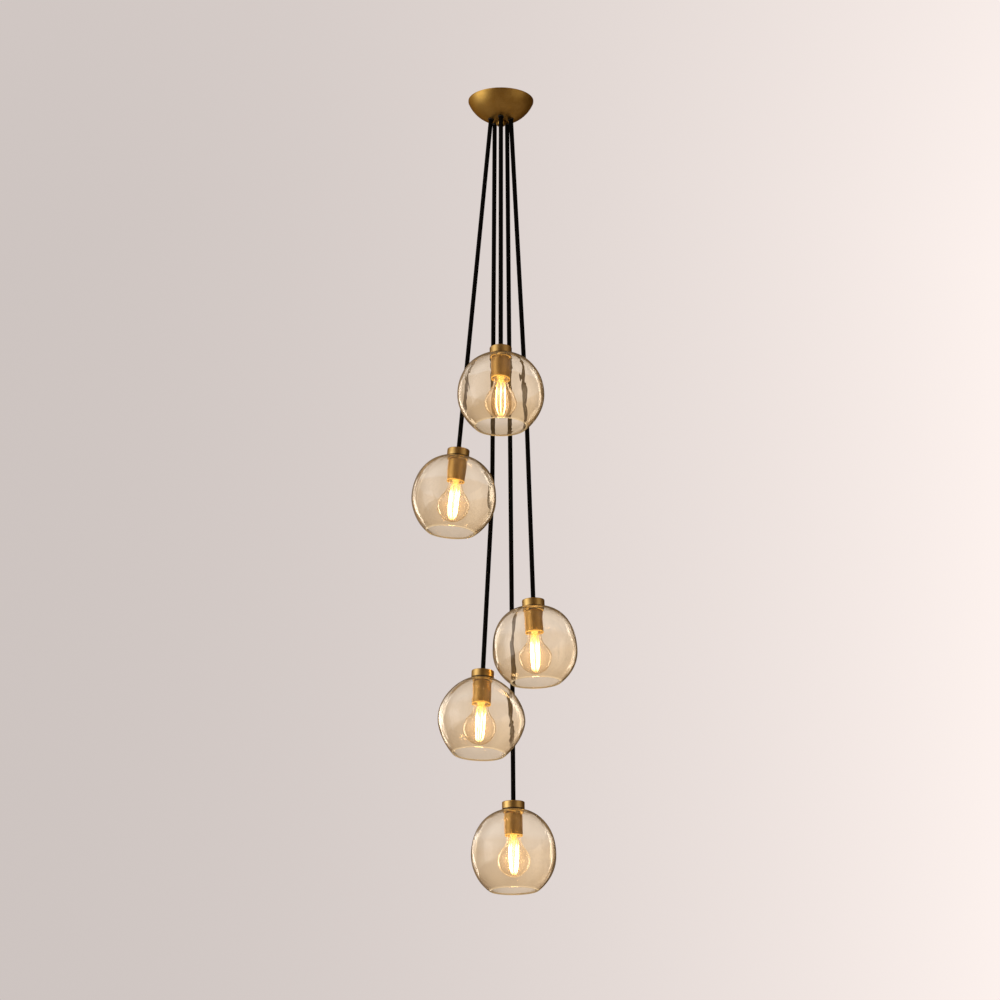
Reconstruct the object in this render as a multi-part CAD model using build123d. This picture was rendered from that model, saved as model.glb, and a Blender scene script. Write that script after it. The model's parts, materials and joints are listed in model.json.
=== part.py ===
from build123d import *
import math
import os
from collections import namedtuple

# Cluster pendant: five blown glass shades hang from one small ceiling canopy
# on five cords of different length.  Millimetres, +Z up.  The origin is the
# middle of the canopy's rim, in the plane of the ceiling.  The front is -Y.

# ---- ceiling canopy: a spun brass dome ------------------------------------
canopy_d = 127.0
canopy_depth = 45.0
canopy_wall = 1.2
canopy_lip = 2.5
canopy_shoulder = 4.0
exit_pitch_d = 40.0
exit_count = 5
front_exit_angle = -90.0

# ---- what holds the canopy to the junction box ----------------------------
strap_length = 104.0
strap_width = 19.0
strap_thickness = 2.4
box_screw_spacing = 88.9
box_slot_width = 4.8
box_slot_length = 12.0
earth_screw_offset = 28.0
earth_screw_d = 3.9
earth_head_d = 8.0
earth_head_height = 2.4
stem_d = 10.0
stem_bore_d = 6.0
stem_nut_flats = 15.0
stem_nut_height = 4.0
cap_nut_d = 18.0
cap_nut_height = 8.5
cap_nut_skirt = 3.0
cap_nut_crown = 2.0

# ---- cords and the grips that they leave the canopy through ---------------
cord_d = 8.0
grip_collar_d = 11.5
grip_collar_height = 2.0
grip_wall = 0.75
grip_length = 9.0
grip_nut_flats = 14.0
grip_nut_height = 3.0
tail_straight = 17.0
tail_end_z = -20.0
lead_d = 2.0
lead_length = 9.0
lead_gap = 1.4

# ---- fitting on top of each shade -----------------------------------------
cap_d = 42.0
cap_height = 13.2
cap_top = 2.5
cap_wall = 2.0
cap_edge_radius = 1.2
cap_boss_wall = 3.0
cap_boss_length = 7.0
seal_thickness = 2.0
seal_inset = 0.7
inner_seal_thickness = 1.5
inner_seal_d = 32.0
nipple_wall = 2.2
nipple_depth = 15.0
lock_nut_flats = 19.0
lock_nut_height = 3.0

# ---- blown glass ----------------------------------------------------------
glass_wall = 3.0
glass_collar = 1.0
glass_depth_share = 0.985
lip_radius = 1.0

# ---- lampholder, for a 26 mm screw lamp -----------------------------------
lamp_base_d = 26.0
lamp_thread_gap = 0.4
screw_shell_wall = 0.5
holder_wall = 1.95
holder_neck = 10.0
holder_length = 36.0
screw_shell_length = 23.0
tab_d = 10.0
tab_thickness = 0.6
cup_wall = 1.1
cup_plate = 1.5
cup_length = 44.0
cup_edge_radius = 3.0

# ---- lamp -----------------------------------------------------------------
bulb_d = 60.0
bulb_length = 105.0
bulb_wall = 0.8
bulb_neck_gap = 0.1
bulb_flare_angle = 42.0
base_length = 22.0
base_shell_wall = 0.3
base_insulator_height = 3.6
contact_d = 9.6
contact_height = 0.9
filament_count = 6
filament_d = 1.8
filament_length = 58.0
filament_top_ring_d = 17.0
filament_low_ring_d = 11.0
stem_glass_length = 5.0
post_d = 2.4
spider_thickness = 1.2

# ---- clearances -----------------------------------------------------------
thread_gap = 0.05
hole_gap = 0.25
seat_gap = 0.3
swing_gap = 0.35

# ---- the five pendants ----------------------------------------------------
# turn: place of the exit, counted anticlockwise from the front one (from above).
# x, y, drop: the middle of the brass cap's top face.
# rests: where the cord leans on a neighbour's glass, or None where it hangs clear.
# lean_radius: outline radius of the glass that it leans on.
# left, right: how far the glass reaches to each side, how deep the widest
# place lies below the top, and how square the shoulder and the belly are.
Side = namedtuple("Side", "reach level shoulder belly mouth")
Pendant = namedtuple("Pendant", "name turn x y drop rests lean_radius height left right")

pendants = [
    Pendant(name="1", turn=0, x=-0.4, y=-47.0, drop=528.7, rests=None, lean_radius=None, height=145.6,
            left=Side(81.9, 82.0, 2.15, 1.8, 48.6), right=Side(81.9, 83.0, 2.2, 1.75, 48.6)),
    Pendant(name="2", turn=4, x=-79.8, y=3.0, drop=714.5, rests=None, lean_radius=None, height=147.5,
            left=Side(81.0, 85.0, 2.3, 1.8, 46.0), right=Side(81.0, 83.0, 2.2, 1.8, 46.0)),
    Pendant(name="3", turn=1, x=60.1, y=16.0, drop=1004.4, rests=(47.6, 18.7, -608.3), lean_radius=86.0,
            height=143.5, left=Side(80.6, 86.0, 2.1, 1.7, 46.0), right=Side(79.6, 82.0, 2.7, 2.2, 46.0)),
    Pendant(name="4", turn=3, x=-33.5, y=36.0, drop=1135.4, rests=(-16.4, 53.6, -786.5), lean_radius=85.0,
            height=144.5, left=Side(85.0, 82.0, 1.75, 1.6, 50.0), right=Side(79.0, 76.0, 1.9, 1.8, 48.0)),
    Pendant(name="5", turn=2, x=22.9, y=90.3, drop=1371.0, rests=(21.0, 90.0, -1075.3), lean_radius=84.0,
            height=151.0, left=Side(80.2, 83.5, 2.2, 2.05, 44.3), right=Side(79.4, 84.0, 2.15, 2.0, 44.3)),
]

# ---- sizes that follow from the ones above --------------------------------
canopy_r = canopy_d / 2
exit_pitch_r = exit_pitch_d / 2
dome_rise = canopy_depth - canopy_lip
dome_r = (canopy_r ** 2 + dome_rise ** 2) / (2 * dome_rise)
dome_centre = dome_r - canopy_depth
cord_r = cord_d / 2
grip_bore_r = cord_r + swing_gap
grip_shank_r = grip_bore_r + grip_wall
grip_mouth_r = (grip_bore_r + grip_collar_d / 2) / 2
stem_r = stem_d / 2
cap_r = cap_d / 2
nipple_bore_r = cord_r + hole_gap
nipple_r = nipple_bore_r + nipple_wall
glass_top_r = cap_r + glass_collar
glass_hole_r = nipple_r + 2 * hole_gap
shell_r = lamp_base_d / 2 + lamp_thread_gap
holder_bore_r = shell_r + screw_shell_wall + thread_gap
holder_r = holder_bore_r + holder_wall
cup_bore_r = holder_r + seat_gap
cup_r = cup_bore_r + cup_wall

# levels along a head's own axis, from the top face of its glass
cup_top = -(glass_wall + inner_seal_thickness)
lock_nut_top = cup_top - cup_plate
holder_top = lock_nut_top - lock_nut_height
shell_top = holder_top - holder_neck
contact_top = shell_top - tab_thickness - seat_gap
base_top = contact_top - contact_height - base_insulator_height
base_low = base_top - base_length
bulb_crown = contact_top - bulb_length
bulb_neck_r = lamp_base_d / 2 - base_shell_wall - bulb_neck_gap
nipple_top = seal_thickness + cap_height - cap_top
nipple_low = holder_top - nipple_depth + cup_plate + lock_nut_height + inner_seal_thickness + glass_wall


def tube(outer_r, inner_r, low, high):
    """A round tube about the Z axis between two levels."""
    middle = Pos(0, 0, (low + high) / 2)
    return middle * Cylinder(outer_r, high - low) - middle * Cylinder(inner_r, high - low + 2)


def hex_nut(flats, bore_r, low, high):
    """A plain hexagon nut between two levels."""
    outline = RegularPolygon(flats / 2, 6, major_radius=False) - Circle(bore_r)
    return Pos(0, 0, low) * extrude(outline, high - low)


# ---- canopy ---------------------------------------------------------------
def dome_solid(inset):
    """The solid under one skin of the dome: a ball's cap on a short upright lip."""
    rim_r = canopy_r - inset
    skin_r = dome_r - inset
    half = math.asin(rim_r / skin_r) / 2
    low = dome_centre - skin_r
    shoulder = dome_centre - math.sqrt(skin_r ** 2 - rim_r ** 2)
    edges = [
        Line((0, 0), (rim_r, 0)),
        Line((rim_r, 0), (rim_r, shoulder)),
        ThreePointArc((rim_r, shoulder), (skin_r * math.sin(half), dome_centre - skin_r * math.cos(half)), (0, low)),
        Line((0, low), (0, 0)),
    ]
    body = revolve(Plane.XZ * make_face(edges), Axis.Z)
    bend = body.edges().filter_by_position(Axis.Z, shoulder - thread_gap, shoulder + thread_gap)
    return fillet(bend, canopy_shoulder - inset)


def exit_plane(turn):
    """Where a cord leaves the dome: on the skin, Z square to it and outwards."""
    angle = math.radians(front_exit_angle + 360 / exit_count * turn)
    outward = Vector(math.cos(angle), math.sin(angle), 0)
    level = -math.sqrt(dome_r ** 2 - exit_pitch_r ** 2)
    normal = (outward * exit_pitch_r + Vector(0, 0, level)) / dome_r
    origin = normal * dome_r + Vector(0, 0, dome_centre)
    return Plane(origin=origin, x_dir=outward.cross(Vector(0, 0, 1)), z_dir=normal)


def pivot_of(turn):
    """The point that a cord swings about: the middle of its grip's mouth."""
    plane = exit_plane(turn)
    return plane.origin + plane.z_dir * grip_collar_height


def make_canopy():
    body = dome_solid(0) - dome_solid(canopy_wall)
    body -= Pos(0, 0, -canopy_depth) * Cylinder(stem_r + hole_gap, canopy_depth / 2)
    for turn in range(exit_count):
        body -= exit_plane(turn) * Cylinder(grip_shank_r + thread_gap, grip_length)
    return body


def make_crossbar():
    """Slotted strap, threaded stem with its nut, and earth screw."""
    strap = extrude(SlotOverall(strap_length, strap_width), -strap_thickness)
    strap -= Cylinder(stem_r + thread_gap, 3 * strap_thickness)
    for side in (-1, 1):
        slot = Pos(side * box_screw_spacing / 2, 0) * SlotOverall(box_slot_length, box_slot_width)
        strap -= extrude(slot, 2 * strap_thickness, both=True)
    earth_place = Pos(earth_screw_offset, 0, 0)
    strap -= earth_place * Cylinder(earth_screw_d / 2 + thread_gap, 3 * strap_thickness)
    stem_low = -canopy_depth - cap_nut_height + cap_nut_crown + seat_gap
    stem = tube(stem_r, stem_bore_d / 2, stem_low, 0)
    nut_top = -strap_thickness
    nut = hex_nut(stem_nut_flats, stem_r + thread_gap, nut_top - stem_nut_height, nut_top)
    shank = earth_place * Pos(0, 0, -strap_thickness / 2) * Cylinder(earth_screw_d / 2, strap_thickness)
    head_middle = -strap_thickness - earth_head_height / 2
    head = earth_place * Pos(0, 0, head_middle) * Cylinder(earth_head_d / 2, earth_head_height)
    head = fillet(head.edges().filter_by(GeomType.CIRCLE).sort_by(Axis.Z)[0], earth_head_height / 4)
    return [strap, stem, nut, shank + head]


def make_cap_nut():
    """Domed nut that closes the end of the stem and carries the canopy."""
    r = cap_nut_d / 2
    top = -canopy_depth
    low = top - cap_nut_height
    edges = [
        Line((0, top), (r, top)),
        Line((r, top), (r, top - cap_nut_skirt)),
        Spline((r, top - cap_nut_skirt), (0, low), tangents=[(0, -1), (-1, 0)]),
        Line((0, low), (0, top)),
    ]
    body = revolve(Plane.XZ * make_face(edges), Axis.Z)
    bore_depth = cap_nut_height - cap_nut_crown
    return body - Pos(0, 0, top - bore_depth / 2) * Cylinder(stem_r + thread_gap, bore_depth)


def make_cord_grips():
    """Five bell-mouthed bushings through the dome, each with its nut inside."""
    pieces = []
    shank_low = -grip_length
    nut_corner_r = grip_nut_flats / math.sqrt(3)
    nut_dip = nut_corner_r ** 2 / (2 * dome_r)
    nut_top = -canopy_wall - nut_dip - thread_gap
    for turn in range(exit_count):
        bushing = Pos(0, 0, grip_collar_height / 2) * Cylinder(grip_collar_d / 2, grip_collar_height)
        bushing = fillet(bushing.edges().filter_by(GeomType.CIRCLE).sort_by(Axis.Z)[-1], grip_wall)
        bushing += Pos(0, 0, shank_low / 2) * Cylinder(grip_shank_r, grip_length)
        bushing -= Cylinder(grip_bore_r, 3 * grip_length)
        flare_depth = grip_collar_height / 2
        bushing -= Pos(0, 0, grip_collar_height - flare_depth / 2) * Cone(grip_bore_r, grip_mouth_r, flare_depth)
        nut = hex_nut(grip_nut_flats, grip_shank_r + thread_gap, nut_top - grip_nut_height, nut_top)
        place = exit_plane(turn).location
        pieces.append(place * bushing)
        pieces.append(place * nut)
    return pieces


def make_cord_tails():
    """The cords' ends inside the dome, each with two stripped leads."""
    pieces = []
    for turn in range(exit_count):
        plane = exit_plane(turn)
        inward = plane.z_dir * -1
        pivot = pivot_of(turn)
        start = pivot + inward * (cord_r + swing_gap)
        bend = pivot + inward * tail_straight
        end = Vector(bend.X, bend.Y, tail_end_z)
        turn_angle = (bend - start).get_angle(end - bend)
        shorter = min((bend - start).length, (end - bend).length)
        bend_radius = 0.45 * shorter / math.tan(math.radians(turn_angle / 2))
        path = FilletPolyline(start, bend, end, radius=bend_radius)
        tail = sweep(Plane(origin=start, z_dir=inward) * Circle(cord_r), path=path)
        print("cord tail", turn, "bend radius", round(bend_radius, 1))
        for side in (-1, 1):
            middle = Pos(end.X + side * (lead_d + lead_gap) / 2, end.Y, end.Z + lead_length / 2)
            tail += middle * Cylinder(lead_d / 2, lead_length)
        pieces.append(tail)
    return pieces


# ---- cords ----------------------------------------------------------------
def head_plane(p):
    """A head's own frame: the middle of its glass's top face, Z up its cord."""
    crown = Vector(p.x, p.y, -p.drop)
    above = Vector(*p.rests) if p.rests else pivot_of(p.turn)
    up = (above - crown).normalized()
    origin = crown - up * (seal_thickness + cap_height)
    sideways = Vector(1, 0, 0) - up * up.X
    return Plane(origin=origin, x_dir=sideways, z_dir=up)


def make_cord(p):
    """A tight cord from its pivot down into the fitting, over a neighbour's glass."""
    start = pivot_of(p.turn)
    plane = head_plane(p)
    end = plane.origin + plane.z_dir * nipple_low
    if p.rests:
        bend = Vector(*p.rests)
        bend_radius = p.lean_radius + cord_r
        path = FilletPolyline(start, bend, end, radius=bend_radius)
        first = bend
        print("cord", p.name, "bend radius", bend_radius)
    else:
        path = Line(start, end)
        first = end
        print("cord", p.name, "is straight")
    cord = sweep(Plane(origin=start, z_dir=first - start) * Circle(cord_r), path=path)
    section = math.pi * cord_r ** 2
    print("  length", round(path.length, 1), "volume / section x length", round(cord.volume / section / path.length, 5))
    return cord + Pos(start) * Sphere(cord_r)


# ---- fitting --------------------------------------------------------------
def make_cap():
    """Turned brass cap with an inner boss that the nipple screws into."""
    low = seal_thickness
    high = low + cap_height
    body = Pos(0, 0, (low + high) / 2) * Cylinder(cap_r, cap_height)
    body = fillet(body.edges().filter_by(GeomType.CIRCLE).sort_by(Axis.Z)[-1], cap_edge_radius)
    hollow_high = high - cap_top
    body -= tube(cap_r - cap_wall, nipple_r + cap_boss_wall, low - 1, hollow_high)
    boss_low = hollow_high - cap_boss_length
    body -= Pos(0, 0, (low - 1 + boss_low) / 2) * Cylinder(nipple_r + cap_boss_wall + 1, boss_low - low + 1)
    body -= Pos(0, 0, (low - 1 + hollow_high) / 2) * Cylinder(nipple_r + thread_gap, hollow_high - low + 1)
    return body - Pos(0, 0, high) * Cylinder(nipple_bore_r, 3 * cap_top)


def make_seals():
    """Soft washers over and under the glass."""
    outer = tube(cap_r - seal_inset, nipple_r + hole_gap, 0, seal_thickness)
    inner = tube(inner_seal_d / 2, nipple_r + hole_gap, cup_top, -glass_wall)
    return [outer, inner]


def make_nipple():
    """Threaded tube through the fitting, and the nut that clamps the cup to the glass."""
    stem = tube(nipple_r, nipple_bore_r, nipple_low, nipple_top)
    nut = hex_nut(lock_nut_flats, nipple_r + thread_gap, holder_top, lock_nut_top)
    return [stem, nut]


def glass_reach(side, height, depth, inset):
    """How far one side of the glass reaches at a depth below its top.

    The outline is an oval with its own power above and below its widest
    place, so that it starts at the collar and ends at the mouth."""
    if depth < side.level:
        power = side.shoulder
        end_share = glass_top_r / side.reach
        span = side.level
        distance = side.level - depth
    else:
        power = side.belly
        end_share = side.mouth / side.reach
        span = height - side.level
        distance = depth - side.level
    half = span / (1 - end_share ** power) ** (1 / power) - inset
    return (side.reach - inset) * (1 - (distance / half) ** power) ** (1 / power)


def glass_form(p, inset, low):
    """The solid under one skin of the glass, through rings at several depths."""
    shares = (0.0, 0.02, 0.075, 0.2, 0.45, 0.72, 0.9, 1.0)
    top = inset
    rings = []
    for share in shares:
        depth = top + (low - top) * share
        left = glass_reach(p.left, p.height, depth, inset)
        right = glass_reach(p.right, p.height, depth, inset)
        half = (left + right) / 2
        rings.append(Pos((right - left) / 2, 0, -depth) * Ellipse(half, half * glass_depth_share))
    return loft(rings)


def make_shade(p):
    """Blown glass: an even wall, a hole for the nipple and a melted lip."""
    glass = glass_form(p, 0, p.height) - glass_form(p, glass_wall, p.height)
    glass -= Cylinder(glass_hole_r, 4 * glass_wall)
    mouth = glass.edges().filter_by_position(Axis.Z, -p.height - 0.01, -p.height + 0.01)
    return fillet(mouth, min(lip_radius, glass_wall / 3))


def make_socket_cup():
    """Brass sleeve that hides the lampholder, with a rounded shoulder."""
    low = cup_top - cup_length
    body = Pos(0, 0, cup_top - cup_length / 2) * Cylinder(cup_r, cup_length)
    body = fillet(body.edges().filter_by(GeomType.CIRCLE).sort_by(Axis.Z)[-1], cup_edge_radius)
    hollow_high = cup_top - cup_plate
    hollow = Pos(0, 0, (low - 1 + hollow_high) / 2) * Cylinder(cup_bore_r, hollow_high - low + 1)
    hollow = fillet(hollow.edges().filter_by(GeomType.CIRCLE).sort_by(Axis.Z)[-1], cup_edge_radius - cup_wall)
    return body - hollow - Pos(0, 0, cup_top) * Cylinder(nipple_r + hole_gap, 3 * cup_plate)


def make_lampholder():
    """Insulating body, its screw shell and the tab that meets the lamp's contact."""
    low = holder_top - holder_length
    body = Pos(0, 0, (low + holder_top) / 2) * Cylinder(holder_r, holder_length)
    body = chamfer(body.edges().filter_by(GeomType.CIRCLE).sort_by(Axis.Z)[-1], 2 * holder_wall)
    body -= Pos(0, 0, (low - 1 + shell_top) / 2) * Cylinder(holder_bore_r, shell_top - low + 1)
    body -= Pos(0, 0, (nipple_low + holder_top) / 2) * Cylinder(nipple_r + thread_gap, holder_top - nipple_low)
    shell = tube(holder_bore_r - thread_gap, shell_r, shell_top - screw_shell_length, shell_top)
    tab = Pos(0, 0, shell_top - tab_thickness / 2) * Cylinder(tab_d / 2, tab_thickness)
    return [body, shell, tab]


# ---- lamp -----------------------------------------------------------------
def make_lamp_contact():
    body = Pos(0, 0, contact_top - contact_height / 2) * Cylinder(contact_d / 2, contact_height)
    return fillet(body.edges().filter_by(GeomType.CIRCLE).sort_by(Axis.Z)[-1], contact_height / 2)


def make_lamp_base():
    """Screw shell of the lamp, and the insulator between it and the contact."""
    r = lamp_base_d / 2
    shell = tube(r, r - base_shell_wall, base_low, base_top)
    insulator = Pos(0, 0, base_top + base_insulator_height / 2) * Cone(
        r - base_shell_wall, contact_d / 2, base_insulator_height)
    return [shell, insulator]


def envelope_solid(inset):
    """The solid under one skin of the bulb: neck, flare and ball."""
    ball_r = bulb_d / 2 - inset
    neck_r = bulb_neck_r - inset
    centre = bulb_crown + bulb_d / 2
    flare = math.radians(bulb_flare_angle)
    meet = (ball_r * math.cos(flare), centre + ball_r * math.sin(flare))
    neck_high = base_low + base_length / 2
    neck_low = base_low - lamp_base_d / 8
    edges = [
        Line((0, neck_high), (neck_r, neck_high)),
        Line((neck_r, neck_high), (neck_r, neck_low)),
        Spline((neck_r, neck_low), meet, tangents=[(0, -1), (math.sin(flare), -math.cos(flare))]),
        ThreePointArc(meet, (ball_r * math.cos(flare / 2), centre - ball_r * math.sin(flare / 2)),
                      (0, centre - ball_r)),
        Line((0, centre - ball_r), (0, neck_high)),
    ]
    return revolve(Plane.XZ * make_face(edges), Axis.Z)


def make_bulb():
    """Clear envelope, open at the neck, which sits in the lamp's base."""
    return envelope_solid(0) - envelope_solid(bulb_wall)


def make_filament():
    """Glass stem, post, two spiders and the filaments strung between them."""
    stem_high = base_low + base_length / 2
    stem_low = base_low - stem_glass_length
    top = stem_low - spider_thickness
    low = top - filament_length
    body = Pos(0, 0, (stem_high + stem_low) / 2) * Cone(post_d, bulb_neck_r - bulb_wall - seat_gap,
                                                      stem_high - stem_low)
    body += Pos(0, 0, (stem_low + low) / 2) * Cylinder(post_d / 2, stem_low - low)
    for level, ring_d in ((top, filament_top_ring_d), (low, filament_low_ring_d)):
        for k in range(filament_count):
            arm = Pos(ring_d / 4, 0, level) * Box(ring_d / 2, spider_thickness, spider_thickness)
            body += Rot(0, 0, 360 / filament_count * k) * arm
    upper = Vector(filament_top_ring_d / 2, 0, top)
    lower = Vector(filament_low_ring_d / 2, 0, low)
    strand = Plane(origin=lower, z_dir=upper - lower) * Circle(filament_d / 2)
    strand = extrude(strand, (upper - lower).length, dir=upper - lower)
    for k in range(filament_count):
        body += Rot(0, 0, 360 / filament_count * k) * strand
    return body


# ---- every node, in its place ---------------------------------------------
os.makedirs("parts", exist_ok=True)


def save(name, pieces):
    """Write one node: a solid, or a group of solids."""
    group = pieces if isinstance(pieces, list) else [pieces]
    shape = Compound(children=group) if len(group) > 1 else group[0]
    export_step(shape, "parts/" + name + ".step")


save("canopy", make_canopy())
save("cap_nut", make_cap_nut())
save("crossbar", make_crossbar())
save("cord_grips", make_cord_grips())
save("cord_tails", make_cord_tails())
for p in pendants:
    place = head_plane(p).location
    save("cord_" + p.name, make_cord(p))
    save("cap_" + p.name, place * make_cap())
    save("seals_" + p.name, [place * seal for seal in make_seals()])
    save("nipple_" + p.name, [place * piece for piece in make_nipple()])
    save("shade_" + p.name, place * make_shade(p))
    save("socket_cup_" + p.name, place * make_socket_cup())
    save("lampholder_" + p.name, [place * piece for piece in make_lampholder()])
    save("lamp_contact_" + p.name, place * make_lamp_contact())
    save("lamp_base_" + p.name, [place * piece for piece in make_lamp_base()])
    save("bulb_" + p.name, place * make_bulb())
    save("filament_" + p.name, place * make_filament())
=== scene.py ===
import json
import math
from collections import namedtuple

import bmesh
import bpy
from mathutils import Matrix, Vector, noise


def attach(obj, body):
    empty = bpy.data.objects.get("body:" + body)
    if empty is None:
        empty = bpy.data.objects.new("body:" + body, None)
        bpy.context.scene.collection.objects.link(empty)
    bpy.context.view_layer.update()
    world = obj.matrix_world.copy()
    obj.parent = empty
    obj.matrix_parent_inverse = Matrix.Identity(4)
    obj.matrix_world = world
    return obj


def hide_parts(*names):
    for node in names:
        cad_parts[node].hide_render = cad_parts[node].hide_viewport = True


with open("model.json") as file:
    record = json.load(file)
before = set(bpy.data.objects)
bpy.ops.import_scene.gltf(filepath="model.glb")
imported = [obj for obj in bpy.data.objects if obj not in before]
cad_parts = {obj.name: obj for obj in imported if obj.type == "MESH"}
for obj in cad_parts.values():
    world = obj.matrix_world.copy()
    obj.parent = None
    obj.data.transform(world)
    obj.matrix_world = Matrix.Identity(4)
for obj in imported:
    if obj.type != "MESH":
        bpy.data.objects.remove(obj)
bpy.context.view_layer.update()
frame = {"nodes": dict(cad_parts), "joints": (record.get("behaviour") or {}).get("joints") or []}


# Crossbar with its stem, nut and earth screw. A strap pressed from zinc-plated
# steel, whose two long slots take the junction box's screws. It goes up first
# and carries all the rest on the stem in its middle.
class Value:
    """One output of a material's nodes. Arithmetic on it adds Math nodes."""

    def __init__(self, tree, socket=None):
        self.tree = tree
        self.socket = socket

    def node(self, kind, inputs, output=0, stops=None, **settings):
        """A node: its settings come first, then the values or links of its sockets."""
        made = self.tree.nodes.new("ShaderNode" + kind)
        for name, setting in settings.items():
            setattr(made, name, setting)
        if stops:
            ramp = made.color_ramp
            for place, _ in stops[2:]:
                ramp.elements.new(place)
            for element, (place, colour) in zip(ramp.elements, stops, strict=True):
                element.position = place
                element.color = (*colour, 1.0)
        for name, given in inputs.items():
            if isinstance(given, Value):
                self.tree.links.new(given.socket, made.inputs[name])
            else:
                made.inputs[name].default_value = given
        return Value(self.tree, made.outputs[output])

    def math(self, operation, first, second=0.0):
        """One step of arithmetic on values or numbers."""
        return self.node("Math", {0: first, 1: second}, operation=operation)

    def __add__(self, other):
        return self.math("ADD", self, other)

    def __sub__(self, other):
        return self.math("SUBTRACT", self, other)

    def __rsub__(self, other):
        return self.math("SUBTRACT", other, self)

    def __mul__(self, other):
        return self.math("MULTIPLY", self, other)

    def __pow__(self, other):
        return self.math("POWER", self, other)

    __radd__ = __add__
    __rmul__ = __mul__


def new_finish(name, **even):
    """A material with its even values set on the shader: (material, nodes, shader)."""
    material = bpy.data.materials.new(name)
    material.use_nodes = True
    shader = material.node_tree.nodes["Principled BSDF"]
    for socket, value in even.items():
        shader.inputs[socket.replace("_", " ")].default_value = value
    return material, Value(material.node_tree), shader


def feed(shader, **links):
    """Join what changes over the surface to the shader's sockets."""
    for socket, value in links.items():
        value.tree.links.new(value.socket, shader.inputs[socket.replace("_", " ")])


def mixed(mask, low, high):
    """The colour low where the mask is 0 and high where it is 1."""
    low = low if isinstance(low, Value) else (*low, 1.0)
    high = high if isinstance(high, Value) else (*high, 1.0)
    # sockets 6 and 7 and output 2 are the ones for colours
    return mask.node("Mix", {0: mask, 6: low, 7: high}, output=2, data_type="RGBA")


def relief(height, strength, depth):
    """Unevenness too fine for the mesh, which only turns the light."""
    return height.node("Bump", {"Height": height, "Strength": strength, "Distance": depth})


def piece_place(nodes, head=None):
    """Place on the piece. With a pendant's head: from the top of its glass, up its axis."""
    place = nodes.node("TexCoord", {}, output="Object")
    if head:
        place = nodes.node("Mapping", {"Vector": place, "Location": head.top,
                                       "Rotation": head.turn.to_euler()}, vector_type="TEXTURE")
    return place


def finish_node(name, material):
    """Give a piece of the construction its finish."""
    node = frame["nodes"][name]
    for place in node.material_slots:
        place.material = material


def zinc_steel():
    """Bright zinc plate with its faint crystal clouds and rolling lines."""
    material, nodes, shader = new_finish("zinc_plated_steel", Metallic=1.0)
    place = piece_place(nodes)
    crystals = nodes.node("TexVoronoi", {"Vector": place, "Scale": 160.0}, output="Color")
    along = nodes.node("Mapping", {"Vector": place, "Scale": (8.0, 400.0, 60.0)})
    rolled = nodes.node("TexNoise", {"Vector": along, "Scale": 3.0, "Detail": 4.0})
    tone = nodes.node("SeparateColor", {"Color": crystals}, output="Red")
    feed(shader, Normal=relief(rolled, 0.15, 0.0002), Roughness=tone * 0.12 + 0.28,
         Base_Color=mixed(tone * 0.5 + rolled * 0.4, (0.42, 0.43, 0.44), (0.68, 0.69, 0.68)))
    return material


finish_node("crossbar", zinc_steel())


# Canopy and cap nut. The canopy is a brass disc spun to a shallow dome over a
# chuck, then browned and waxed; the domed nut under it holds it to the stem.
def climb(value, start, end, step="SMOOTHSTEP"):
    """0 before start and 1 past end, and between them a soft step or an even, LINEAR one."""
    return value.node("MapRange", {"Value": value, "From Min": start, "From Max": end},
                      interpolation_type=step)


def aged_brass(name, head=None, painted_glow_below=0.0, polish=0.36, wax=0.5,
               pale=(0.74, 0.52, 0.190), dark=(0.48, 0.285, 0.070)):
    """Browned brass with turning marks round the piece's own axis, under a thin wax.

    polish is its middle roughness. With a depth for the glow, an edge that far
    under the top of the glass gets a painted orange glow for the lamp's light on it.
    """
    material, nodes, shader = new_finish(name, Metallic=1.0, Coat_Weight=wax, Coat_Roughness=0.35,
                                         Specular_Tint=(0.62, 0.42, 0.22, 1.0))
    place = piece_place(nodes, head)
    cloud = nodes.node("TexNoise", {"Vector": place, "Scale": 28.0, "Detail": 5.0,
                                    "Roughness": 0.6})
    speck = nodes.node("TexNoise", {"Vector": place, "Scale": 420.0, "Detail": 3.0})
    turned = nodes.node("TexWave", {"Vector": place, "Scale": 240.0, "Distortion": 0.8,
                                    "Detail": 2.0}, output="Fac", bands_direction="Z")
    age = nodes.node("ValToRGB", {"Fac": cloud * 0.75 + speck * 0.25},
                     stops=[(0.30, dark), (0.68, pale)])
    # a painted orange glow on the edge nearest the lamp, for the lamp's light on it
    if painted_glow_below:
        painted_glow_starts, painted_glow_full = 0.0024 - painted_glow_below, 0.0002 - painted_glow_below
        level = nodes.node("SeparateXYZ", {"Vector": place}, output="Z")
        shader.inputs["Emission Strength"].default_value = 1.0
        feed(shader, Emission_Color=mixed(climb(level, painted_glow_starts, painted_glow_full),
                                          (0.0, 0.0, 0.0), (0.95, 0.50, 0.09)))
    feed(shader, Base_Color=age, Normal=relief(turned * 0.6 + speck * 0.4, 0.10, 0.0002),
         Roughness=cloud * 0.14 + speck * 0.06 + (polish - 0.10))
    return material


canopy_brass = aged_brass("spun_brass", polish=0.38, wax=0.2,
                          pale=(0.66, 0.43, 0.115), dark=(0.42, 0.235, 0.040))
finish_node("canopy", canopy_brass)
finish_node("cap_nut", canopy_brass)


# Cord grips and the cords' ends inside. Each grip is a moulded black nylon
# bushing held by its nut; above it the cord's sleeve stops and two leads go on.
def black_nylon():
    """Moulded nylon with a fine spark-eroded grain."""
    material, nodes, shader = new_finish("black_nylon")
    grain = nodes.node("TexNoise", {"Vector": piece_place(nodes), "Scale": 900.0, "Detail": 3.0})
    feed(shader, Base_Color=mixed(grain, (0.010, 0.010, 0.011), (0.026, 0.025, 0.024)),
         Roughness=grain * 0.2 + 0.38, Normal=relief(grain, 0.3, 0.0002))
    return material


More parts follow.
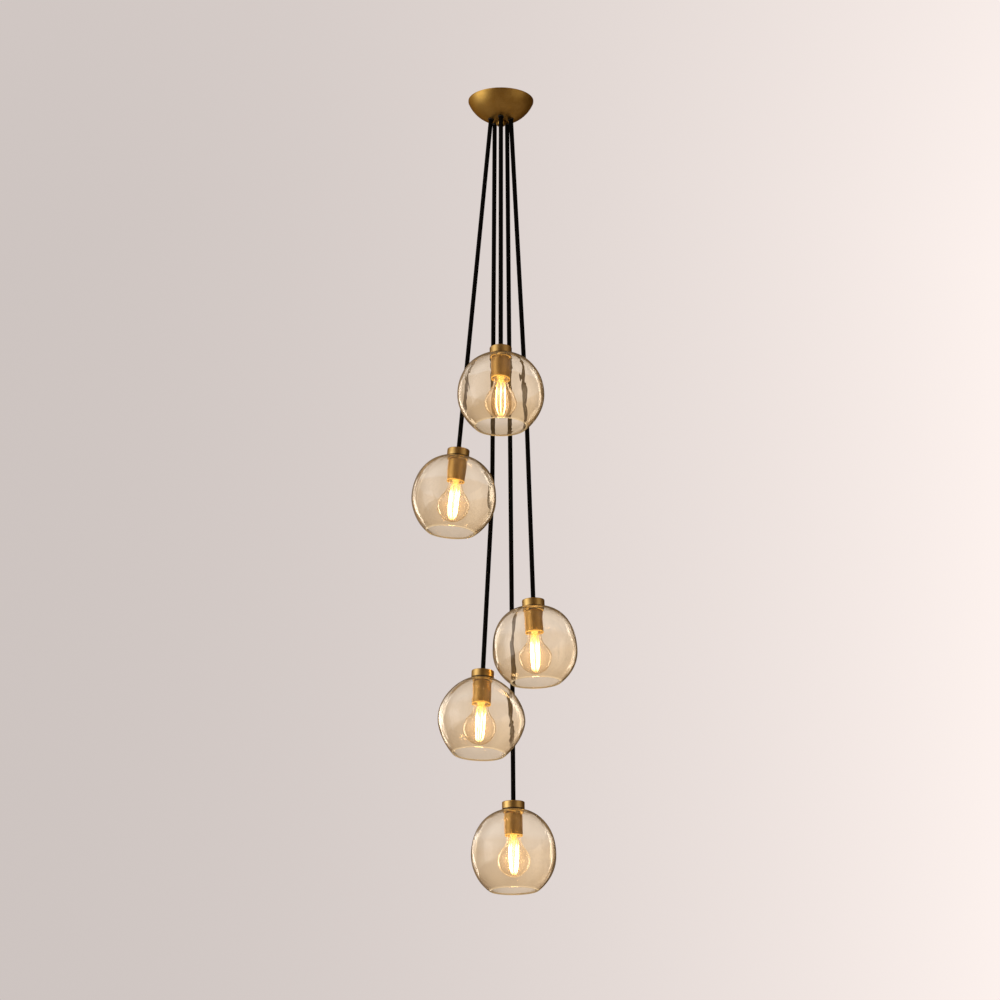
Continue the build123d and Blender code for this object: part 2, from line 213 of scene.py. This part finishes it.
def woven_sleeve():
    """Black woven sleeve: fine crossing yarns, a little dust between them."""
    material, nodes, shader = new_finish("black_woven_sleeve", Specular_IOR_Level=0.04)
    place = piece_place(nodes)
    yarns = []
    for lean in (35.0, -35.0):
        turn = (0.0, math.radians(lean), math.radians(45.0))
        turned = nodes.node("Mapping", {"Vector": place, "Rotation": turn})
        yarns.append(nodes.node("TexWave", {"Vector": turned, "Scale": 260.0, "Distortion": 0.6},
                                output="Fac", bands_direction="Z"))
    weave = nodes.math("MAXIMUM", *yarns)
    dust = nodes.node("TexNoise", {"Vector": place, "Scale": 60.0, "Detail": 4.0})
    feed(shader, Roughness=0.92 - weave * 0.25, Normal=relief(weave, 0.5, 0.0004),
         Base_Color=mixed(weave * 0.6 + dust * 0.3, (0.0012, 0.0012, 0.0012),
                          (0.0075, 0.0070, 0.0062)))
    return material


sleeve = woven_sleeve()
finish_node("cord_grips", black_nylon())
finish_node("cord_tails", sleeve)

# Cords. Each is a round flex in a black woven sleeve, pulled straight by its
# shade. It leaves the canopy through its bell-mouthed grip and ends in the
# nipple under the brass cap; the three longest lean on a neighbour's glass.
cord_diameter = 0.0086
cord_end_below_glass = 0.015
lamp_joint_below_glass = 0.0464
ball_diameter = 0.99 * cord_diameter
# how far a route's points beside a bend stand from it
beside_bend = 6 * cord_diameter
# where a cord leans on its neighbour's glass
rests = {"3": Vector((0.0476, 0.0187, -0.6083)), "4": Vector((-0.0164, 0.0536, -0.7865)),
         "5": Vector((0.0210, 0.0900, -1.0753))}
joints = {joint["name"]: joint for joint in frame["joints"]}
# the middle of a glass's top face, and how its axis is turned from upright
Head = namedtuple("Head", "top turn")
heads = {}


def round_lines(name, lines, diameter, around, along):
    """Round strands with closed ends, one for each line of points.

    around and along are how finely each is cut.
    """
    curve = bpy.data.curves.new(name, "CURVE")
    curve.dimensions = "3D"
    curve.bevel_depth = diameter / 2
    curve.bevel_resolution = around
    curve.use_fill_caps = True
    for line in lines:
        spline = curve.splines.new("NURBS")
        spline.points.add(len(line) - 1)
        for point, place in zip(spline.points, line, strict=True):
            point.co = (*place, 1.0)
        spline.order_u = 3
        spline.use_endpoint_u = True
        spline.resolution_u = along
    return curve


def new_object(name, data, material=None):
    """An object of this mesh, curve, light or camera, put into the scene."""
    if material:
        data.materials.append(material)
    made = bpy.data.objects.new(name, data)
    bpy.context.scene.collection.objects.link(made)
    return made


def new_piece(name, shape, material):
    """An object of a finished bmesh, shaded smooth."""
    for face in shape.faces:
        face.smooth = True
    mesh = bpy.data.meshes.new(name)
    shape.to_mesh(mesh)
    shape.free()
    return new_object(name, mesh, material)


# the pendants are numbered from the highest to the lowest
for k in "12345":
    up = -Vector(joints["lamp_turn_" + k]["axis"])
    top = Vector(joints["lamp_turn_" + k]["pos_m"]) + up * lamp_joint_below_glass
    heads[k] = Head(top, up.to_track_quat("Z", "Y"))
    pivot = Vector(joints["pendant_swing_" + k]["pos_m"])
    end = top - up * cord_end_below_glass
    corners = [pivot, rests[k], end] if k in rests else [pivot, end]
    from_grip = (corners[1] - pivot).normalized() * beside_bend
    route = [pivot, pivot + from_grip]
    if k in rests:
        from_rest = (end - rests[k]).normalized() * beside_bend
        route += [rests[k] - from_grip, rests[k], rests[k] + from_rest]
    route.append(end)
    line = round_lines("cord_line_" + k, [route], cord_diameter, around=6, along=12)
    cord = new_object("woven_cord_" + k, line, sleeve)
    # a ball at the pivot rounds the cord where it bends out of its grip
    ball = bmesh.new()
    bmesh.ops.create_uvsphere(ball, u_segments=24, v_segments=12, radius=ball_diameter / 2)
    bmesh.ops.translate(ball, verts=ball.verts, vec=pivot)
    bend = new_piece("cord_bend_" + k, ball, sleeve)
    for piece in (cord, bend):
        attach(piece, "pendant_" + k)
    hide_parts("cord_" + k)
    length = sum((b - a).length for a, b in zip(corners, corners[1:]))


# Caps and washers. A cap is turned from brass bar, hollow inside, and screws
# down over the top of the glass; soft washers lie over and under the glass.
def soft_rubber():
    """Dark red-brown rubber, dull where it is pressed."""
    material, nodes, shader = new_finish("washer_rubber")
    grain = nodes.node("TexNoise", {"Vector": piece_place(nodes), "Scale": 500.0, "Detail": 4.0})
    feed(shader, Base_Color=mixed(grain, (0.012, 0.007, 0.006), (0.040, 0.020, 0.015)),
         Roughness=grain * 0.2 + 0.6, Normal=relief(grain, 0.25, 0.0002))
    return material


rubber = soft_rubber()
for k, head in heads.items():
    cap_brass = aged_brass("turned_brass_" + k, head=head, polish=0.34)
    finish_node("cap_" + k, cap_brass)
    finish_node("seals_" + k, rubber)

# Shades. Pale smoky glass, gathered and blown free of any mould, so that no
# two are alike: soft ripples, a wall of about 3 mm and a thick melted lip.
glass_wall = 0.003
hole_radius = 0.00695
crown_radius = 0.022
depth_share = 0.985
crown_steps, wall_steps, round_steps = 4, 26, 72
outer_ripple, outer_ripple_width = 0.0007, 0.045
inner_ripple, inner_ripple_width = 0.0006, 0.030
# below the crown the ripples grow to their height over this depth
ripples_grow_over = 0.02
# steps through the noise from one surface to the next, so that no two are alike
noise_steps = (7.3, 3.1, 5.7)
inside_seed = 10
# a side's furthest reach and how deep that lies, how full its shoulder and its
# belly are, and its reach at the mouth
Side = namedtuple("Side", "reach level shoulder belly mouth")
# height, how much browner the foot is, the level where the lighter top of the
# glass ends and over how much it does so, and the two sides
Glass = namedtuple("Glass", "height smoke line edge left right")
glasses = {
    "1": Glass(0.1456, 1.0, -0.056, 0.004, Side(0.0819, 0.0820, 2.15, 1.8, 0.0486),
               Side(0.0819, 0.0830, 2.2, 1.75, 0.0486)),
    "2": Glass(0.1475, 0.5, -0.052, 0.008, Side(0.0810, 0.0850, 2.3, 1.8, 0.0460),
               Side(0.0810, 0.0830, 2.2, 1.8, 0.0460)),
    "3": Glass(0.1435, 0.5, -0.046, 0.020, Side(0.0806, 0.0860, 2.1, 1.7, 0.0460),
               Side(0.0796, 0.0820, 2.7, 2.2, 0.0460)),
    "4": Glass(0.1445, 0.5, -0.046, 0.020, Side(0.0850, 0.0820, 1.75, 1.6, 0.0500),
               Side(0.0790, 0.0760, 1.9, 1.8, 0.0480)),
    "5": Glass(0.1510, 0.4, -0.046, 0.020, Side(0.0802, 0.0835, 2.2, 2.05, 0.0443),
               Side(0.0794, 0.0840, 2.15, 2.0, 0.0443)),
}


def reach_at(side, height, depth):
    """How far one side of the glass reaches at a depth below its top face."""
    above = depth < side.level
    power = side.shoulder if above else side.belly
    end_share = (crown_radius if above else side.mouth) / side.reach
    span = side.level if above else height - side.level
    half = span / (1 - end_share ** power) ** (1 / power)
    return side.reach * (1 - (abs(side.level - depth) / half) ** power) ** (1 / power)


def make_uneven(vertices, height, width, seed, still=0.0):
    """Soft ripples of hand-blown glass, from the still depth below its top face downwards."""
    elsewhere = Vector([seed * step for step in noise_steps])
    for vertex in vertices:
        fade = min(1.0, max(0.0, -vertex.co.z - still) / ripples_grow_over)
        vertex.co += vertex.normal * fade * height * noise.noise(vertex.co / width + elsewhere)


def spun(outline, steps):
    """A new bmesh: an outline of (reach, level) points taken once round the upright axis."""
    shape = bmesh.new()
    line = [shape.verts.new((reach, 0.0, level)) for reach, level in outline]
    edges = [shape.edges.new(pair) for pair in zip(line, line[1:])]
    bmesh.ops.spin(shape, geom=line + edges, cent=(0, 0, 0), axis=(0, 0, 1), angle=math.tau,
                   steps=steps, use_merge=True)
    return shape


def to_head(head):
    """The turn and move that take a shape from the origin to its pendant's head."""
    return Matrix.Translation(head.top) @ head.turn.to_matrix().to_4x4()


def surface_of(nodes, shader):
    """The shader's output, to be mixed with another one."""
    return Value(nodes.tree, shader.outputs[0])


def show(surface):
    """Join a mixed surface to its material's output."""
    surface.tree.links.new(surface.socket, surface.tree.nodes["Material Output"].inputs["Surface"])


def show_see_through(nodes, surface, tint):
    """Lamp light goes straight through the glass, tinted, instead of being stopped by it."""
    ray = nodes.node("LightPath", {}, output="Is Shadow Ray")
    clear = nodes.node("BsdfTransparent", {"Color": (*tint, 1.0)})
    show(nodes.node("MixShader", {0: ray, 1: surface, 2: clear}))


def smoke_glass(name, head, glass):
    """Pale smoky glass: lighter above, browner below and where the eye goes along the wall."""
    swirl_shift = 0.012
    foot_starts, foot_full = -0.092, -0.122
    # where the painted amber glow under the cap and the painted glint at the lip fade
    crown_starts, crown_full = 0.0205, 0.0165
    lip_starts, lip_full = 0.0035 - glass.height, 0.0005 - glass.height
    rim_starts, rim_full, rim_share = 0.72, 0.95, 0.75
    material, nodes, shader = new_finish(name, Transmission_Weight=1.0, IOR=1.5, Roughness=0.0,
                                         Emission_Strength=1.0)
    place = piece_place(nodes, head)
    drawn = nodes.node("Mapping", {"Vector": place, "Scale": (1.0, 1.0, 0.45)})
    swirl = nodes.node("TexNoise", {"Vector": drawn, "Scale": 22.0, "Detail": 1.5,
                                    "Distortion": 0.8})
    level = nodes.node("SeparateXYZ", {"Vector": place}, output="Z")
    uneven_level = level + swirl * swirl_shift
    body = mixed(climb(uneven_level, glass.line, glass.line - glass.edge),
                 (0.990, 0.958, 0.880), (0.940, 0.862, 0.728))
    foot = climb(uneven_level, foot_starts, foot_full)
    body = mixed(foot * glass.smoke, body, (0.80, 0.69, 0.51))
    edge = nodes.node("LayerWeight", {"Blend": 0.5}, output="Facing")
    outwards = nodes.node("VectorMath", {0: place, 1: (1.0, 1.0, 0.0)}, operation="MULTIPLY")
    reach = nodes.node("VectorMath", {0: outwards}, output="Value", operation="LENGTH")
    # a faint painted warm glow, amber under the cap and a painted pale glint at the melted lip
    glow_haze = mixed(climb(reach, crown_starts, crown_full), (0.020, 0.0120, 0.0050),
                 (0.50, 0.24, 0.045))
    glow_haze = mixed(climb(level, lip_starts, lip_full), glow_haze, (0.22, 0.17, 0.095))
    feed(shader, Base_Color=mixed(edge ** 6.0, body, (0.62, 0.50, 0.32)), Emission_Color=glow_haze,
         Normal=relief(swirl, 0.35, 0.004))
    # seen edge-on, the wall turns partly to an opaque dark brown: a painted dark outline, on top
    # of the browner look of the long way through the glass
    rim = climb(edge, rim_starts, rim_full, "LINEAR") * rim_share
    dark_edge_shader = nodes.node("BsdfPrincipled", {"Base Color": (0.17, 0.130, 0.070, 1.0),
                                          "Roughness": 0.3})
    wall = nodes.node("MixShader", {0: rim, 1: surface_of(nodes, shader), 2: dark_edge_shader})
    show_see_through(nodes, wall, (0.93, 0.885, 0.77))
    return material


for k, glass in glasses.items():
    seed = int(k)
    crown = [(hole_radius + (crown_radius - hole_radius) * step / crown_steps, 0.0)
             for step in range(crown_steps)]
    depths = [glass.height * (1 - math.cos(math.pi * step / wall_steps)) / 2
              for step in range(wall_steps + 1)]
    wall = [(reach_at(glass.right, glass.height, depth), -depth) for depth in depths]
    shape = spun(crown + wall, round_steps)
    # spun from its right side, the glass now gets its left one, and is made a
    # little less deep from front to back than it is wide
    for vertex in shape.verts:
        depth = min(-vertex.co.z, glass.height)
        if depth > 0:
            angle = math.atan2(vertex.co.y, vertex.co.x)
            left = reach_at(glass.left, glass.height, depth)
            right = reach_at(glass.right, glass.height, depth)
            half = (left + right) / 2
            vertex.co.x = (right - left) / 2 + half * math.cos(angle)
            vertex.co.y = depth_share * half * math.sin(angle)
    bmesh.ops.recalc_face_normals(shape, faces=shape.faces)
    shape.normal_update()
    outer = list(shape.verts)
    make_uneven(outer, outer_ripple, outer_ripple_width, seed)
    shape.normal_update()
    bmesh.ops.solidify(shape, geom=list(shape.faces), thickness=glass_wall)
    shape.normal_update()
    known = set(outer)
    inner = [vertex for vertex in shape.verts if vertex not in known]
    make_uneven(inner, inner_ripple, inner_ripple_width, seed + inside_seed, still=glass_wall)
    bmesh.ops.transform(shape, matrix=to_head(heads[k]), verts=shape.verts)
    smoky = smoke_glass("smoke_glass_" + k, heads[k], glass)
    shade = new_piece("blown_shade_" + k, shape, smoky)
    smooth = shade.modifiers.new("smooth", "SUBSURF")
    smooth.levels = smooth.render_levels = 1
    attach(shade, "pendant_" + k)
    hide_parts("shade_" + k)

# Socket sleeves and nipples. A sleeve is a cup drawn from brass sheet and
# finished on the lathe, clamped under the glass by the nut on the threaded
# nipple. Its lower edge has a painted orange glow for the light of the lamp
# right below it.
sleeve_end_below_glass = 0.048
plain_brass = aged_brass("plain_brass", polish=0.30, pale=(0.75, 0.58, 0.28),
                         dark=(0.58, 0.40, 0.16))
for k, head in heads.items():
    cup_brass = aged_brass("drawn_brass_" + k, head=head, painted_glow_below=sleeve_end_below_glass,
                           polish=0.42, pale=(0.62, 0.39, 0.120), dark=(0.40, 0.22, 0.046))
    finish_node("socket_cup_" + k, cup_brass)
    finish_node("nipple_" + k, plain_brass)


# Lampholders. Glazed porcelain body with a pressed screw shell and a springy
# centre tab, which the lamp's shell and contact meet when it is screwed home.
def porcelain():
    """White glaze, a little uneven in tone and surface."""
    material, nodes, shader = new_finish("glazed_porcelain", Coat_Weight=0.6, Coat_Roughness=0.06)
    glaze = nodes.node("TexNoise", {"Vector": piece_place(nodes), "Scale": 90.0, "Detail": 3.0})
    feed(shader, Base_Color=mixed(glaze, (0.78, 0.75, 0.69), (0.86, 0.84, 0.80)),
         Roughness=glaze * 0.1 + 0.22, Normal=relief(glaze, 0.2, 0.0004))
    return material


white = porcelain()
for k in heads:
    finish_node("lampholder_" + k, white)

# Lamps. Clear blown envelope on a rolled screw base of nickelled brass, with a
# glass stem, a post and six long glowing filaments strung round it in a cage.
thread_pitch = 0.003629
turns_per_ring = 2
# of a wave texture at scale 1
waves_per_metre = 3.18
strand_count = 6
strand_width = 0.0011
# reach from the lamp's axis and level from the top of the shade's glass, down
# one strand, and down the outside of the stem and its post
strand_line = ((0.0056, -0.0510), (0.0078, -0.0570), (0.0086, -0.0700), (0.0090, -0.0920),
               (0.0080, -0.1070), (0.0062, -0.1160), (0.0030, -0.1205))
stem_outline = ((0.0, -0.0420), (0.0070, -0.0420), (0.0066, -0.0470), (0.0042, -0.0520),
                (0.0026, -0.0545), (0.0012, -0.0575), (0.0012, -0.1180), (0.0, -0.1190))
stem_steps = 24
# how strong the painted bright line round each lamp's glass is
painted_rim_line = {"1": 0.3, "2": 0.3, "3": 0.3, "4": 0.3, "5": 1.0}


def nickel(name, head):
    """Nickelled brass with soft rings, one for every two turns of its rolled thread."""
    material, nodes, shader = new_finish(name, Metallic=1.0)
    place = piece_place(nodes, head)
    cloud = nodes.node("TexNoise", {"Vector": place, "Scale": 120.0, "Detail": 4.0})
    ring_scale = 1 / (turns_per_ring * thread_pitch * waves_per_metre)
    rings = nodes.node("TexWave", {"Vector": place, "Scale": ring_scale}, output="Fac",
                       bands_direction="Z")
    feed(shader, Base_Color=mixed(cloud, (0.55, 0.50, 0.42), (0.78, 0.74, 0.66)),
         Roughness=cloud * 0.15 + 0.2, Normal=relief(rings, 0.8, 0.001))
    return material


def lamp_glass(name, painted_line_share):
    """Clear thin glass with a faint warm haze, a painted warm glow brighter
    towards its middle and a painted bright line round its edges.
    """
    material, nodes, shader = new_finish(name, Transmission_Weight=1.0, IOR=1.45, Roughness=0.0,
                                         Base_Color=(0.955, 0.935, 0.91, 1.0),
                                         Emission_Strength=1.0)
    cloud = nodes.node("TexNoise", {"Vector": piece_place(nodes), "Scale": 40.0, "Detail": 2.0})
    glow_haze = nodes.node("BsdfPrincipled", {"Base Color": (1.0, 0.66, 0.34, 1.0), "Roughness": 0.42,
                                         "Transmission Weight": 1.0, "IOR": 1.45})
    both = nodes.node("MixShader", {0: cloud * 0.03 + 0.015, 1: surface_of(nodes, shader),
                                    2: glow_haze})
    edge = nodes.node("LayerWeight", {"Blend": 0.5}, output="Facing")
    # painted light: a warm glow brighter towards the lamp's middle, and a bright line at its edges
    painted_glow = mixed((1 - edge) ** 2.5, (0.014, 0.009, 0.004), (0.105, 0.062, 0.024))
    feed(shader, Emission_Color=mixed(edge ** 7.0 * painted_line_share, painted_glow, (1.9, 1.35, 0.76)))
    show_see_through(nodes, both, (0.98, 0.96, 0.92))
    return material


def lit_along(nodes, head, foot, span, stops):
    """Colours of light up a lamp's axis, from a foot so far below the glass's top."""
    level = nodes.node("SeparateXYZ", {"Vector": piece_place(nodes, head)}, output="Z")
    return nodes.node("ValToRGB", {"Fac": (level + foot) * (1 / span)}, stops=stops)


def glowing(name, head):
    """Filaments at full heat: white along the middle, amber towards the two ends."""
    material, nodes, shader = new_finish(name, Base_Color=(0.0, 0.0, 0.0, 1.0),
                                         Emission_Strength=22.0)
    heat = lit_along(nodes, head, foot=0.122, span=0.075, stops=[
        (0.02, (0.20, 0.10, 0.03)), (0.20, (1.0, 0.68, 0.34)), (0.62, (1.0, 0.70, 0.36)),
        (0.78, (0.20, 0.10, 0.024)), (0.96, (0.06, 0.024, 0.005))])
    feed(shader, Emission_Color=heat)
    return material


def lit_stem(name, head):
    """Glass of the stem and post, with a painted glow for the filaments' light along it."""
    material, nodes, shader = new_finish(name, Transmission_Weight=1.0, IOR=1.45, Roughness=0.15,
                                         Base_Color=(0.98, 0.93, 0.85, 1.0),
                                         Emission_Strength=1.0)
    # the painted glow up the stem and post
    light = lit_along(nodes, head, foot=0.115, span=0.080, stops=[
        (0.05, (0.9, 0.5, 0.14)), (0.55, (1.0, 0.62, 0.22)), (0.78, (0.9, 0.46, 0.08)),
        (0.90, (0.35, 0.14, 0.02))])
    feed(shader, Emission_Color=light)
    show_see_through(nodes, surface_of(nodes, shader), (0.95, 0.90, 0.82))
    return material


tin = aged_brass("tinned_contact", polish=0.3, pale=(0.72, 0.72, 0.70), dark=(0.5, 0.5, 0.49))
for k, head in heads.items():
    finish_node("lamp_contact_" + k, tin)
    finish_node("lamp_base_" + k, nickel("rolled_nickel_" + k, head))
    finish_node("bulb_" + k, lamp_glass("lamp_glass_" + k, painted_rim_line[k]))
    strands = []
    for strand in range(strand_count):
        turn = Matrix.Rotation(math.tau * (strand + 0.5) / strand_count, 4, "Z")
        turn = to_head(head) @ turn
        strands.append([turn @ Vector((reach, 0.0, level)) for reach, level in strand_line])
    line = round_lines("filament_line_" + k, strands, strand_width, around=3, along=6)
    drawing = bpy.data.objects.new("filament_drawing_" + k, line)
    mesh = bpy.data.meshes.new_from_object(drawing)
    bpy.data.objects.remove(drawing)
    bpy.data.curves.remove(line)
    mesh.materials.clear()
    cage = new_object("filament_cage_" + k, mesh, glowing("hot_filament_" + k, head))
    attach(cage, "lamp_" + k)
    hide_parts("filament_" + k)
    shape = spun(stem_outline, stem_steps)
    bmesh.ops.remove_doubles(shape, verts=shape.verts, dist=1e-6)
    bmesh.ops.recalc_face_normals(shape, faces=shape.faces)
    bmesh.ops.transform(shape, matrix=to_head(head), verts=shape.verts)
    stem = new_piece("lamp_stem_" + k, shape, lit_stem("stem_glass_" + k, head))
    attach(stem, "lamp_" + k)

# Studio. A pale floor well below, a pale backdrop colour all round, and soft
# light from a large window on the left and a weaker one on the right. The
# camera stands 5.4 m in front, 2.4 m below the canopy, and looks up.
floor_level, floor_half = -2.7, 6.0
backdrop = (0.730, 0.658, 0.631)
paper_share = 0.8


def plain_rays(nodes):
    """1 for what is seen straight or through glass, 0 for reflections in metal and for light."""
    straight = nodes.node("LightPath", {}, output="Is Camera Ray")
    through = nodes.node("LightPath", {}, output="Is Transmission Ray")
    mirrored = nodes.node("LightPath", {}, output="Glossy Depth")
    return nodes.math("MINIMUM", straight + through * nodes.math("LESS_THAN", mirrored, 0.5), 1.0)


def pale_floor():
    """Matt painted floor, which to the eye is nearly the backdrop's paper."""
    material, nodes, shader = new_finish("pale_floor", Roughness=0.8)
    cloud = nodes.node("TexNoise", {"Vector": piece_place(nodes), "Scale": 3.0})
    feed(shader, Base_Color=mixed(cloud, (0.68, 0.61, 0.58), (0.72, 0.65, 0.62)))
    paper = nodes.node("Emission", {"Color": (*backdrop, 1.0)})
    show(nodes.node("MixShader", {0: plain_rays(nodes) * paper_share,
                                  1: surface_of(nodes, shader), 2: paper}))
    return material


shape = bmesh.new()
bmesh.ops.create_grid(shape, x_segments=8, y_segments=8, size=floor_half)
bmesh.ops.translate(shape, verts=shape.verts, vec=(0, 0, floor_level))
floor = new_piece("floor", shape, pale_floor())

world = bpy.data.worlds.new("studio")
bpy.context.scene.world = world
world.use_nodes = True
air = Value(world.node_tree)
seen = plain_rays(air)
way = air.node("TexCoord", {}, output="Generated")
# soft daylight from windows, which are tall because a ray's rise counts only
# a quarter. The two narrow ones behind the light are met only by rays that
# have gone through glass, and give its walls their bright edges.
tall = air.node("VectorMath", {0: way, 1: (1.0, 1.0, 0.25)}, operation="MULTIPLY")
tall = air.node("VectorMath", {0: tall}, operation="NORMALIZE")
in_glass = air.math("MINIMUM", air.node("LightPath", {}, output="Transmission Depth"), 1.0)
Window = namedtuple("Window", "side narrow power")
windows = 0.0
for window in (
    Window((-0.94, -0.34, -0.02), 7.0, 2.1),
    Window((-0.79, 0.61, 0.0), 5.0, 0.4),
    Window((0.78, -0.54, 0.33), 6.0, 0.55),
    Window((-0.64, 0.767, -0.035), 80.0, in_glass * 9.0),
    Window((0.64, 0.765, -0.07), 160.0, in_glass * 6.0),
):
    facing = air.node("VectorMath", {0: tall, 1: Vector(window.side).normalized()},
                      output="Value", operation="DOT_PRODUCT")
    windows = air.math("MAXIMUM", facing, 0.0) ** window.narrow * window.power + windows
# the backdrop grows paler from left to right where it stands behind the light
pale_half, pale_slope, pale_curve = 0.17, 1.55, 3.5
behind_starts, behind_full = 0.70, 0.92
all_round = 0.11
across = air.node("SeparateXYZ", {"Vector": way}, output="X")
across = air.node("MapRange", {"Value": across, "From Min": -pale_half, "From Max": pale_half,
                               "To Min": -pale_half, "To Max": pale_half})
behind = air.node("SeparateXYZ", {"Vector": way}, output="Y")
behind = climb(behind, behind_starts, behind_full, "LINEAR")
paler = (across * pale_slope + across * across * pale_curve) * behind + 1.0
strength = seen * paler + (1 - seen) * (windows + all_round)
daylight = mixed(windows, (0.80, 0.52, 0.30), (0.73, 0.665, 0.615))
sky = world.node_tree.nodes["Background"]
feed(sky, Color=mixed(seen, daylight, backdrop), Strength=strength)

Lamp = namedtuple("Lamp", "name place size power")
aim = Vector((0.0, 0.0, -0.75))
for lamp in (
    Lamp("left_window", Vector((-3.9, -0.9, -1.2)), (2.2, 2.8), 14.0),
    Lamp("right_fill", Vector((3.6, -2.2, -1.2)), (3.4, 3.6), 10.0),
):
    light = bpy.data.lights.new(lamp.name, "AREA")
    light.shape = "RECTANGLE"
    light.size, light.size_y = lamp.size
    light.energy = lamp.power
    light.color = (1.0, 0.97, 0.93)
    stand = new_object(lamp.name, light)
    stand.location = lamp.place
    stand.rotation_euler = (lamp.place - aim).to_track_quat("Z", "Y").to_euler()
    # no lamp is seen through a shade, as none is seen beside it
    stand.visible_camera = False
    stand.visible_transmission = False

camera_pitch = math.radians(16.77)
camera_data = bpy.data.cameras.new("camera")
camera_data.lens = 108.0
camera_data.sensor_width = 36.0
camera_data.clip_end = 60.0
camera = new_object("camera", camera_data)
camera.location = (-0.00176, -5.388, -2.438)
camera.rotation_euler = (math.pi / 2 + camera_pitch, 0.0, 0.0)
bpy.context.scene.camera = camera

# light goes through up to four walls of glass on its way across one shade
cycles = bpy.context.scene.cycles
cycles.max_bounces = 40
cycles.transmission_bounces = 40
cycles.glossy_bounces = 16
cycles.transparent_max_bounces = 40
bpy.context.scene.view_settings.view_transform = "Standard"
